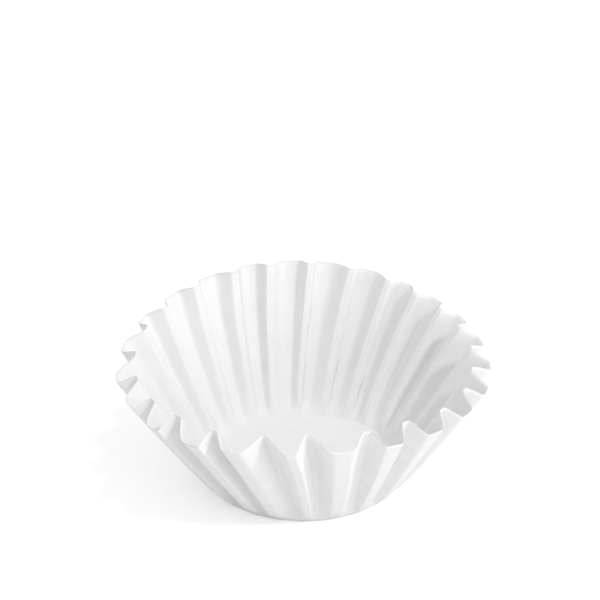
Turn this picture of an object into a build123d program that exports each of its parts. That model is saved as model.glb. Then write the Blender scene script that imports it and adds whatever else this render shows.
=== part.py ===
"""Basket coffee filter: one disc of crepe paper pressed into a flat-bottomed, fluted cup.

The frame: +Z up, the origin at the middle of the floor's underside, the low side of the rim
towards -Y. The paper keeps its length, so every place on the wall is described by its share
of the slant, which runs from 0 at the floor's crease to 1 at the cut edge of the disc.
"""

from build123d import *
import os
from math import cos, hypot, pi, radians, sin, sqrt, tanh

# Driving sizes, in millimetres
floor_radius = 41.5      # flat round floor, out to its crease
slant = 65.0             # paper between the crease and the cut edge
paper = 0.2              # thickness of the sheet
spread = 30.8            # how far the mean rim stands out from the crease, level
flute_depth = 7.2        # inner fold to outer fold at the rim, level
lean = 5.2               # how far the rim has sagged towards -Y
rim_dip = 2.8            # how far the rim is low at -Y and high at +Y
rim_oval = 3.3           # how far the rim is low at two opposite sides and high between them
oval_side = 9.0          # direction of the first of the two low sides, in degrees

# How the flutes run
flutes = 24
flatness = 1.6           # 0 is a plain wave; more gives flatter folds and steeper flanks
broader_outside = 0.2    # 0 makes outer and inner folds alike; more makes the outer ones broader
depth_power = 0.65       # flutes deepen quickly above the crease, then slowly
twist = 6.0              # degrees that the folds turn between the crease and the rim
first_fold = 189.1       # direction of the first outer fold at the rim, in degrees
crowding_once = 3.3      # degrees that the flutes crowd together on one side
crowding_twice = 3.2     # degrees that they crowd together on two sides
crowded_side = 137.5     # direction of the one side
crowded_pair = 35.5      # direction of the first of the two

# Rows of the wall, as shares of the slant, and the corners of each flank between one fold's
# middle and the next one's, as shares of the flank
rows = (0.0, 0.06, 0.2, 0.55, 1.0)
corners = (0.0, 0.3, 0.7, 1.0)


def fold_direction(turn, share):
    """Direction in radians of a place on the wall; turn counts flutes from the first fold."""
    even = first_fold + 360.0 * turn / flutes
    once = crowding_once * cos(radians(even - crowded_side))
    twice = crowding_twice * cos(2.0 * radians(even - crowded_pair))
    return radians(even - once + twice + twist * (1.0 - share))


def fold_wave(turn):
    """1 at the middle of an outer fold and -1 at the middle of an inner one, flat about both."""
    outermost = tanh(flatness * (1.0 + broader_outside))
    innermost = tanh(flatness * (broader_outside - 1.0))
    here = tanh(flatness * (cos(2.0 * pi * turn) + broader_outside))
    return 2.0 * (here - innermost) / (outermost - innermost) - 1.0


def wall_point(turn, share):
    """A place on the outer face of the wall, as x, y and z."""
    depth = flute_depth * share**depth_power
    out = spread * share + 0.5 * depth * fold_wave(turn)
    direction = fold_direction(turn, share)
    rise = sqrt((slant * share) ** 2 - out**2)
    oval = cos(2.0 * (direction - radians(oval_side)))
    rise += share * (rim_dip * sin(direction) - rim_oval * oval)
    radius = floor_radius + out
    return Vector(radius * cos(direction), radius * sin(direction) - lean * share, rise)


def run_at(turn, share):
    """The way the row runs at a place on the wall."""
    return (wall_point(turn + 0.01, share) - wall_point(turn - 0.01, share)).normalized()


def inner_point(turn, share):
    """The same place on the inner face, one thickness of leaning paper further in."""
    run = run_at(turn, share)
    level_run = hypot(run.X, run.Y)
    level_paper = paper * hypot(1.0, spread / sqrt(slant**2 - spread**2))
    inwards = Vector(-run.Y, run.X, 0) * (level_paper / level_run)
    floor_top = paper if share == 0.0 else 0.0
    return wall_point(turn, share) + inwards + Vector(0, 0, floor_top)


def row_curves(place, share):
    """One row of the wall, as a curve from each corner to the next."""
    turns = [(flank + corner) / 2.0 for flank in range(2 * flutes) for corner in corners[:-1]]
    curves = []
    with BuildLine():
        for start, end in zip(turns, turns[1:] + [flutes]):
            ends = (run_at(start, share), run_at(end, share))
            curves.append(Spline(place(start, share), place(end, share), tangents=ends))
    return curves


def skin(lower_row, upper_row):
    """Faces between two rows, one for each pair of curves."""
    return [Face.make_surface_from_curves(*pair) for pair in zip(lower_row, upper_row)]


outer_rows = [row_curves(wall_point, share) for share in rows]
inner_rows = [row_curves(inner_point, share) for share in rows]

faces = [Face(Wire(outer_rows[0])), Face(Wire(inner_rows[0]))]
for lower_row, upper_row in zip(outer_rows, outer_rows[1:]):
    faces += skin(lower_row, upper_row)
for lower_row, upper_row in zip(inner_rows, inner_rows[1:]):
    faces += skin(lower_row, upper_row)
faces += skin(outer_rows[-1], inner_rows[-1])

with BuildPart() as filter_paper:
    add(Solid(Shell(faces)))

filter_paper.part.label = "filter_paper"

os.makedirs("parts", exist_ok=True)
export_step(filter_paper.part, "parts/filter_paper.step")
print("paper volume, mm3:", round(filter_paper.part.volume, 1))
print("size, mm:", filter_paper.part.bounding_box().size)
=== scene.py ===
"""Looks for the basket coffee filter: one disc of crepe paper pressed into a fluted cup."""

import math

import bpy
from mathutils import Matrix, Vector


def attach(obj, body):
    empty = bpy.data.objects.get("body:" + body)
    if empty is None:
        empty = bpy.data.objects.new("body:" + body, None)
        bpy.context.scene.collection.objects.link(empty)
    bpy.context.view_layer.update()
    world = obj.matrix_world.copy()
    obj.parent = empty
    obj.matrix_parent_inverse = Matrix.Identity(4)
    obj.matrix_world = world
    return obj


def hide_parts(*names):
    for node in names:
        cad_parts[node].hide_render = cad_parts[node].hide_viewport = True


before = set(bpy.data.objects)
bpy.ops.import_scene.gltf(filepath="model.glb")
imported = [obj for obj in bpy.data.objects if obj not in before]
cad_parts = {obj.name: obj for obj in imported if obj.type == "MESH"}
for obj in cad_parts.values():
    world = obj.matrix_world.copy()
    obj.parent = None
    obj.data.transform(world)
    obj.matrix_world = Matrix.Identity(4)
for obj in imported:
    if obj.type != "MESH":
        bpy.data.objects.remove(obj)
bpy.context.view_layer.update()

MM = 0.001

# The cup, in metres and degrees. These are the solid's sizes, with two differences: its depth
# power is 0.65, and it has no scallop.
FLOOR_RADIUS = 41.5 * MM
SLANT = 65.0 * MM
PAPER = 0.2 * MM
SPREAD = 30.8 * MM
FLUTE_DEPTH = 7.2 * MM
LEAN = 5.2 * MM
RIM_DIP = 2.8 * MM
RIM_OVAL = 3.3 * MM
OVAL_SIDE = 9.0
BACK_SCALLOP = 0.8 * MM
DEPTH_POWER = 0.5
TWIST = 6.0
FIRST_FOLD = 189.1
CROWDING_ONCE = (3.3, 137.5)
CROWDING_TWICE = (3.2, 35.5)

# How each fold strays from even, counter-clockwise from the first: degrees, how far it stands
# out or in as a share of half the flute's depth, and how broad its flat is as a share of usual.
# Outer and inner folds take turns. The first two columns are a fitting program's results, rounded
# and in some rows changed; the third was set one by one.
FOLDS = (
    (0, 1.05, 1.0), (-3, 1.05, 1.0), (0, 0.95, 1.0), (-3.5, 1.1, 1.0),
    (0, 1.15, 1.0), (-4.5, 1.1, 1.0), (0.5, 1.2, 1.0), (-4, 0.8, 1.0),
    (-2.5, 1.1, 0.9), (-1, 1.1, 0.6), (1, 1.05, 0.7), (-1.5, 1.2, 0.8),
    (1, 0.9, 1.0), (3, 0.9, 1.0), (1.5, 1.05, 1.0), (2, 1.0, 1.0),
    (1, 1.05, 1.0), (2.5, 0.8, 1.0), (1, 0.95, 1.0), (2.5, 0.95, 1.0),
    (0.5, 0.95, 1.0), (0.5, 1.15, 1.0), (1.5, 0.9, 1.0), (0.5, 1.0, 1.0),
    (0.5, 0.95, 1.0), (-0.5, 0.9, 1.0), (0, 1.0, 1.0), (-3, 0.85, 1.0),
    (-1.5, 0.9, 1.0), (-4, 0.95, 1.0), (-2, 0.85, 1.0), (-5.5, 0.95, 1.0),
    (0, 1.0, 1.0), (-3.5, 0.95, 1.0), (2.5, 1.0, 1.0), (-1, 1.05, 1.0),
    (-0.5, 1.0, 1.0), (1.5, 1.05, 1.0), (0.5, 1.05, 1.0), (1, 1.05, 1.0),
    (1, 0.95, 1.0), (1.5, 0.9, 1.0), (0, 0.95, 1.0), (2, 0.9, 1.0),
    (-1, 1.0, 1.0), (-0.5, 0.95, 1.0), (-1.5, 0.95, 1.0), (-1.5, 1.05, 1.0),
)
FLUTES = len(FOLDS) // 2

# How finely the sheet is meshed
COLUMNS_PER_FLANK = 18
COLUMNS = 2 * FLUTES * COLUMNS_PER_FLANK
ROWS = 52
ROW_CROWDING = 1.25           # rows stand closer together towards the crease
FLUTES_BEGIN = 1.0 / 12.0     # share of the slant over which the flutes start from nothing
WELD = 0.002 * MM

# How the folds wander and where the paper is dented
WANDER_ROUND = 6.0
WANDER_UP = 2.5
DENTS_PER_METRE = 110.0
DENTED_ABOVE = 20.0 * MM

# The finish of the paper
PALE = (0.84, 0.84, 0.84, 1.0)
PALER = (0.90, 0.90, 0.90, 1.0)
FIBRES_PER_METRE = 900.0
CLOUDS_PER_METRE = 120.0


# --- A small way to write formulas as Geometry Nodes ------------------------------------------

class Formula:
    """A value inside a node tree that can be added, multiplied and so on."""

    def __init__(self, tree, socket):
        self.tree = tree
        self.socket = socket

    def join(self, operation, *others):
        node = self.tree.nodes.new("ShaderNodeMath")
        node.operation = operation
        for slot, value in enumerate((self, *others)):
            if isinstance(value, Formula):
                self.tree.links.new(value.socket, node.inputs[slot])
            else:
                node.inputs[slot].default_value = value
        return Formula(self.tree, node.outputs[0])

    def __add__(self, other):
        return self.join("ADD", other)

    def __sub__(self, other):
        return self.join("SUBTRACT", other)

    def __mul__(self, other):
        return self.join("MULTIPLY", other)

    def __truediv__(self, other):
        return self.join("DIVIDE", other)

    def __pow__(self, other):
        return self.join("POWER", other)

    def cos(self):
        return self.join("COSINE")

    def sin(self):
        return self.join("SINE")

    def sqrt(self):
        return self.join("SQRT")

    def radians(self):
        return self.join("RADIANS")

    def floor(self):
        return self.join("FLOOR")

    def fraction(self):
        return self.join("FRACT")


def mix(low, high, share):
    """low where share is 0, high where it is 1."""
    return (high - low) * share + low


def held(share):
    """A share kept between 0 and 1."""
    return share.join("MAXIMUM", 0.0).join("MINIMUM", 1.0)


def smooth(share):
    """Eases a share in and out."""
    return (share * -2.0 + 3.0) * share * share


# --- The sheet of paper ---------------------------------------------------------------------

SIZES = (
    ("Floor Radius", FLOOR_RADIUS), ("Slant", SLANT), ("Spread", SPREAD),
    ("Flute Depth", FLUTE_DEPTH), ("Depth Power", DEPTH_POWER), ("Lean", LEAN),
    ("Rim Dip", RIM_DIP), ("Rim Oval", RIM_OVAL), ("Oval Side", OVAL_SIDE),
    ("Back Scallop", BACK_SCALLOP), ("Twist", TWIST), ("First Fold", FIRST_FOLD),
    ("Outer Flat At Floor", 0.30), ("Outer Flat At Rim", 0.44),
    ("Inner Flat At Floor", 0.18), ("Inner Flat At Rim", 0.22), ("Rounding", 0.35),
    ("Floor Share", 0.16), ("Wander", 1.0), ("Crumple", 0.35 * MM), ("Seed", 3.0),
)

FOLD_VALUES = ("turned", "stands", "broad")


def fold_ring():
    """One loose point per fold, carrying how far it strays from even."""
    mesh = bpy.data.meshes.new("folds")
    mesh.from_pydata([(0, 0, 0)] * len(FOLDS), [], [])
    for column, name in enumerate(FOLD_VALUES):
        layer = mesh.attributes.new(name, "FLOAT", "POINT")
        layer.data.foreach_set("value", [float(fold[column]) for fold in FOLDS])
    ring = bpy.data.objects.new("filter_folds", mesh)
    bpy.context.scene.collection.objects.link(ring)
    return ring


def cup_tree(paper):
    """The disc, from its middle out to its cut edge, pressed into a fluted cup."""
    tree = bpy.data.node_groups.new("fluted_cup", "GeometryNodeTree")
    face = tree.interface
    face.new_socket("Folds", in_out="INPUT", socket_type="NodeSocketGeometry")
    face.new_socket("Cup", in_out="OUTPUT", socket_type="NodeSocketGeometry")
    for name, _ in SIZES:
        face.new_socket(name, in_out="INPUT", socket_type="NodeSocketFloat")
    nodes, links = tree.nodes, tree.links
    given = nodes.new("NodeGroupInput")
    size = {name: Formula(tree, given.outputs[name]) for name, _ in SIZES}

    grid = nodes.new("GeometryNodeMeshGrid")
    grid.inputs["Size X"].default_value = 1.0
    grid.inputs["Size Y"].default_value = 1.0
    grid.inputs["Vertices X"].default_value = COLUMNS + 1
    grid.inputs["Vertices Y"].default_value = ROWS + 1
    place = nodes.new("ShaderNodeSeparateXYZ")
    links.new(nodes.new("GeometryNodeInputPosition").outputs[0], place.inputs[0])
    turn = (Formula(tree, place.outputs["X"]) + 0.5) * FLUTES
    along = Formula(tree, place.outputs["Y"]) + 0.5

    # The floor takes the first rows and the wall the rest, closer together at the crease
    floor_share = size["Floor Share"]
    on_floor = along.join("MINIMUM", floor_share) / floor_share
    up_wall = (along - floor_share).join("MAXIMUM", 0.0) / (floor_share * -1.0 + 1.0)
    share = up_wall ** ROW_CROWDING

    def of_fold(attribute, index):
        named = nodes.new("GeometryNodeInputNamedAttribute")
        named.data_type = "FLOAT"
        named.inputs["Name"].default_value = attribute
        sample = nodes.new("GeometryNodeSampleIndex")
        sample.data_type = "FLOAT"
        links.new(given.outputs["Folds"], sample.inputs["Geometry"])
        links.new(named.outputs["Attribute"], sample.inputs["Value"])
        links.new(index.socket, sample.inputs["Index"])
        return Formula(tree, sample.outputs["Value"])

    # A flank runs from the middle of one fold's flat to the middle of the next one's; a third of
    # its columns are on each flat and a third on the slope between them.
    fold = turn * 2.0 + 0.0001
    column = fold.fraction()
    here = fold.floor().join("MODULO", 2.0 * FLUTES)
    after = (fold.floor() + 1.0).join("MODULO", 2.0 * FLUTES)
    inner_here = here.join("MODULO", 2.0)
    outer_flat = mix(size["Outer Flat At Floor"], size["Outer Flat At Rim"], share)
    inner_flat = mix(size["Inner Flat At Floor"], size["Inner Flat At Rim"], share)
    flat_here = mix(outer_flat, inner_flat, inner_here) * of_fold("broad", here)
    flat_after = mix(inner_flat, outer_flat, inner_here) * of_fold("broad", after)
    on_here = (column * 3.0).join("MINIMUM", 1.0)
    on_slope = held(column * 3.0 - 1.0)
    on_after = held(column * 3.0 - 2.0)
    slope = flat_here * -1.0 + 1.0 - flat_after
    past = on_here * flat_here + on_slope * slope + on_after * flat_after
    rounding = size["Rounding"] * share
    drop = smooth(held((column * 3.0 - 1.0 + rounding) / (rounding * 2.0 + 1.0)))
    drop = mix(on_slope, drop, share * 0.6 + 0.4)
    turned = mix(of_fold("turned", here), of_fold("turned", after), smooth(past))
    level_here = of_fold("stands", here) * (inner_here * -2.0 + 1.0)
    level_after = of_fold("stands", after) * (inner_here * 2.0 - 1.0)
    wave = mix(level_here, level_after, drop)
    turn = (fold.floor() + past) * 0.5

    # Direction of each place, with uneven spacing, twist and a little wander of the folds
    even = turn * (360.0 / FLUTES) + size["First Fold"]
    once = (even - CROWDING_ONCE[1]).radians().cos() * CROWDING_ONCE[0]
    twice = ((even - CROWDING_TWICE[1]).radians() * 2.0).cos() * CROWDING_TWICE[0]
    degrees = even - once + twice + turned + size["Twist"] * (share * -1.0 + 1.0)
    wander = nodes.new("ShaderNodeTexNoise")
    wander.noise_dimensions = "4D"
    wander.inputs["Scale"].default_value = 1.0
    wander.inputs["Detail"].default_value = 1.0
    round_about = nodes.new("ShaderNodeCombineXYZ")
    links.new((even.radians().cos() * WANDER_ROUND).socket, round_about.inputs["X"])
    links.new((even.radians().sin() * WANDER_ROUND).socket, round_about.inputs["Y"])
    links.new((share * WANDER_UP).socket, round_about.inputs["Z"])
    links.new(round_about.outputs[0], wander.inputs["Vector"])
    links.new(size["Seed"].socket, wander.inputs["W"])
    strayed = (Formula(tree, wander.outputs[0]) - 0.5) * 2.0 * size["Wander"] * share
    direction = (degrees + strayed).radians()

    begun = held(share * (1.0 / FLUTES_BEGIN))
    depth = size["Flute Depth"] * share ** size["Depth Power"] * begun
    out = size["Spread"] * share + depth * wave * 0.5

    slanted = size["Slant"] * share
    rise = (slanted * slanted - out * out).join("MAXIMUM", 0.0).sqrt()
    oval = ((direction - size["Oval Side"].radians()) * 2.0).cos() * size["Rim Oval"]
    scallop = wave * direction.sin().join("MAXIMUM", 0.0) * size["Back Scallop"]
    rise = rise + (direction.sin() * size["Rim Dip"] - oval + scallop) * share
    radius = size["Floor Radius"] * on_floor + out
    seat = nodes.new("ShaderNodeCombineXYZ")
    links.new((radius * direction.cos()).socket, seat.inputs["X"])
    links.new((radius * direction.sin() - size["Lean"] * share).socket, seat.inputs["Y"])
    links.new(rise.socket, seat.inputs["Z"])

    pressed = nodes.new("GeometryNodeSetPosition")
    links.new(grid.outputs["Mesh"], pressed.inputs["Geometry"])
    links.new(seat.outputs[0], pressed.inputs["Position"])
    joined = nodes.new("GeometryNodeMergeByDistance")
    joined.inputs["Distance"].default_value = WELD
    links.new(pressed.outputs[0], joined.inputs[0])

    # Slight dents, none on the floor
    dents = nodes.new("ShaderNodeTexNoise")
    dents.noise_dimensions = "4D"
    dents.inputs["Scale"].default_value = DENTS_PER_METRE
    dents.inputs["Detail"].default_value = 2.0
    links.new(size["Seed"].socket, dents.inputs["W"])
    above = nodes.new("ShaderNodeSeparateXYZ")
    links.new(nodes.new("GeometryNodeInputPosition").outputs[0], above.inputs[0])
    high = (Formula(tree, above.outputs["Z"]) / DENTED_ABOVE).join("MINIMUM", 1.0)
    push = (Formula(tree, dents.outputs[0]) - 0.5) * size["Crumple"] * high
    offset = nodes.new("ShaderNodeVectorMath")
    offset.operation = "SCALE"
    links.new(nodes.new("GeometryNodeInputNormal").outputs[0], offset.inputs[0])
    links.new(push.socket, offset.inputs["Scale"])
    dented = nodes.new("GeometryNodeSetPosition")
    links.new(joined.outputs[0], dented.inputs["Geometry"])
    links.new(offset.outputs[0], dented.inputs["Offset"])

    real = nodes.new("GeometryNodeRealizeInstances")
    links.new(dented.outputs[0], real.inputs[0])
    finish = nodes.new("GeometryNodeSetMaterial")
    finish.inputs["Material"].default_value = paper
    links.new(real.outputs[0], finish.inputs["Geometry"])
    links.new(finish.outputs[0], nodes.new("NodeGroupOutput").inputs[0])
    return tree


def filter_sheet(paper):
    """The finished sheet: the cup's outer face from the tree, then the paper's thickness."""
    ring = fold_ring()
    press = ring.modifiers.new("press", "NODES")
    press.node_group = cup_tree(paper)
    for socket in press.node_group.interface.items_tree:
        if socket.name in dict(SIZES):
            press[socket.identifier] = dict(SIZES)[socket.name]
    graph = bpy.context.evaluated_depsgraph_get()
    mesh = bpy.data.meshes.new_from_object(ring.evaluated_get(graph))
    bpy.data.objects.remove(ring)
    mesh.name = "filter_sheet"
    for name in FOLD_VALUES:
        if name in mesh.attributes:
            mesh.attributes.remove(mesh.attributes[name])
    mesh.shade_smooth()
    sheet = bpy.data.objects.new("filter_sheet", mesh)
    bpy.context.scene.collection.objects.link(sheet)
    thick = sheet.modifiers.new("paper", "SOLIDIFY")
    thick.thickness = PAPER
    thick.offset = -1.0
    return sheet


# --- Finish -----------------------------------------------------------------------------------

def paper_finish():
    """Matt white crepe paper: fine fibres as bump, and a slightly cloudy tone."""
    paper = bpy.data.materials.new("crepe_paper")
    paper.use_nodes = True
    nodes, links = paper.node_tree.nodes, paper.node_tree.links
    shader = nodes["Principled BSDF"]
    shader.inputs["Roughness"].default_value = 0.95
    shader.inputs["Specular IOR Level"].default_value = 0.15
    place = nodes.new("ShaderNodeTexCoord")
    fibres = nodes.new("ShaderNodeTexNoise")
    fibres.inputs["Scale"].default_value = FIBRES_PER_METRE
    fibres.inputs["Detail"].default_value = 4.0
    links.new(place.outputs["Object"], fibres.inputs["Vector"])
    cloud = nodes.new("ShaderNodeTexNoise")
    cloud.inputs["Scale"].default_value = CLOUDS_PER_METRE
    cloud.inputs["Detail"].default_value = 3.0
    links.new(place.outputs["Object"], cloud.inputs["Vector"])
    shade = nodes.new("ShaderNodeMix")
    shade.data_type = "RGBA"
    shade.inputs["A"].default_value = PALE
    shade.inputs["B"].default_value = PALER
    links.new(cloud.outputs[0], shade.inputs["Factor"])
    links.new(shade.outputs["Result"], shader.inputs["Base Color"])
    bump = nodes.new("ShaderNodeBump")
    bump.inputs["Strength"].default_value = 0.15
    bump.inputs["Distance"].default_value = 0.1 * MM
    links.new(fibres.outputs[0], bump.inputs["Height"])
    links.new(bump.outputs[0], shader.inputs["Normal"])
    return paper


# --- Floor, light and camera ------------------------------------------------------------------

def floor_finish():
    """White to the camera where it is lit, and a plain pale floor to the object."""
    finish = bpy.data.materials.new("pale_floor")
    finish.use_nodes = True
    nodes, links = finish.node_tree.nodes, finish.node_tree.links
    shader = nodes["Principled BSDF"]
    shader.inputs["Roughness"].default_value = 1.0
    shader.inputs["Specular IOR Level"].default_value = 0.0
    seen = nodes.new("ShaderNodeLightPath")
    colour = nodes.new("ShaderNodeMix")
    colour.data_type = "RGBA"
    colour.inputs["A"].default_value = (0.90, 0.90, 0.90, 1.0)
    colour.inputs["B"].default_value = (1.0, 1.0, 1.0, 1.0)
    links.new(seen.outputs["Is Camera Ray"], colour.inputs["Factor"])
    links.new(colour.outputs["Result"], shader.inputs["Base Color"])
    shader.inputs["Emission Color"].default_value = (1.0, 1.0, 1.0, 1.0)
    glow = nodes.new("ShaderNodeMath")
    glow.operation = "MULTIPLY"
    glow.inputs[1].default_value = 0.24
    links.new(seen.outputs["Is Camera Ray"], glow.inputs[0])
    links.new(glow.outputs[0], shader.inputs["Emission Strength"])
    return finish


def pale_floor():
    """A wide floor that the filter stands on."""
    half = 3.0
    mesh = bpy.data.meshes.new("floor")
    corners = [(-half, -half, 0), (half, -half, 0), (half, half, 0), (-half, half, 0)]
    mesh.from_pydata(corners, [], [(0, 1, 2, 3)])
    mesh.materials.append(floor_finish())
    ground = bpy.data.objects.new("floor", mesh)
    ground.location.z = -0.05 * MM
    bpy.context.scene.collection.objects.link(ground)


def even_sky(strength):
    """A plain white surround: white to the camera, gentler on the object."""
    world = bpy.data.worlds.new("surround")
    world.use_nodes = True
    nodes, links = world.node_tree.nodes, world.node_tree.links
    background = nodes["Background"]
    background.inputs["Color"].default_value = (1.0, 1.0, 1.0, 1.0)
    seen = nodes.new("ShaderNodeLightPath")
    level = nodes.new("ShaderNodeMix")
    level.inputs["A"].default_value = strength
    level.inputs["B"].default_value = 1.0
    links.new(seen.outputs["Is Camera Ray"], level.inputs["Factor"])
    links.new(level.outputs["Result"], background.inputs["Strength"])
    bpy.context.scene.world = world


def aimed(thing, place, target):
    """Puts a lamp or the camera at a place and turns it to a target."""
    thing.location = place
    thing.rotation_euler = (Vector(target) - Vector(place)).to_track_quat("-Z", "Y").to_euler()
    bpy.context.scene.collection.objects.link(thing)


def soft_lamp(name, place, target, width, power):
    """A square soft lamp."""
    lamp = bpy.data.lights.new(name, "AREA")
    lamp.size = width
    lamp.energy = power
    aimed(bpy.data.objects.new(name, lamp), place, target)


def camera():
    """The view: a little above the rim, looking down into the cup."""
    view = bpy.data.cameras.new("camera")
    view.lens = 104.6
    view.sensor_width = 36.0
    distance, above = 0.7, math.radians(27.05)
    target = Vector((-1.7 * MM, 0.0, 78.3 * MM))
    back = Vector((0.0, -math.cos(above), math.sin(above)))
    eye = bpy.data.objects.new("camera", view)
    aimed(eye, target + back * distance, target)
    bpy.context.scene.camera = eye


camera()
pale_floor()
even_sky(0.76)
middle = (0.0, 0.0, 30.0 * MM)
soft_lamp("key", (0.62, -0.62, 0.88), middle, 0.1, 3.8)
soft_lamp("top", (0.30, -0.35, 1.30), middle, 0.08, 0.9)
soft_lamp("low", (0.85, -0.80, 0.20), middle, 0.5, 2.3)

sheet = filter_sheet(paper_finish())
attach(sheet, "root")
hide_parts("filter_paper")

bpy.context.scene.view_settings.view_transform = "Standard"
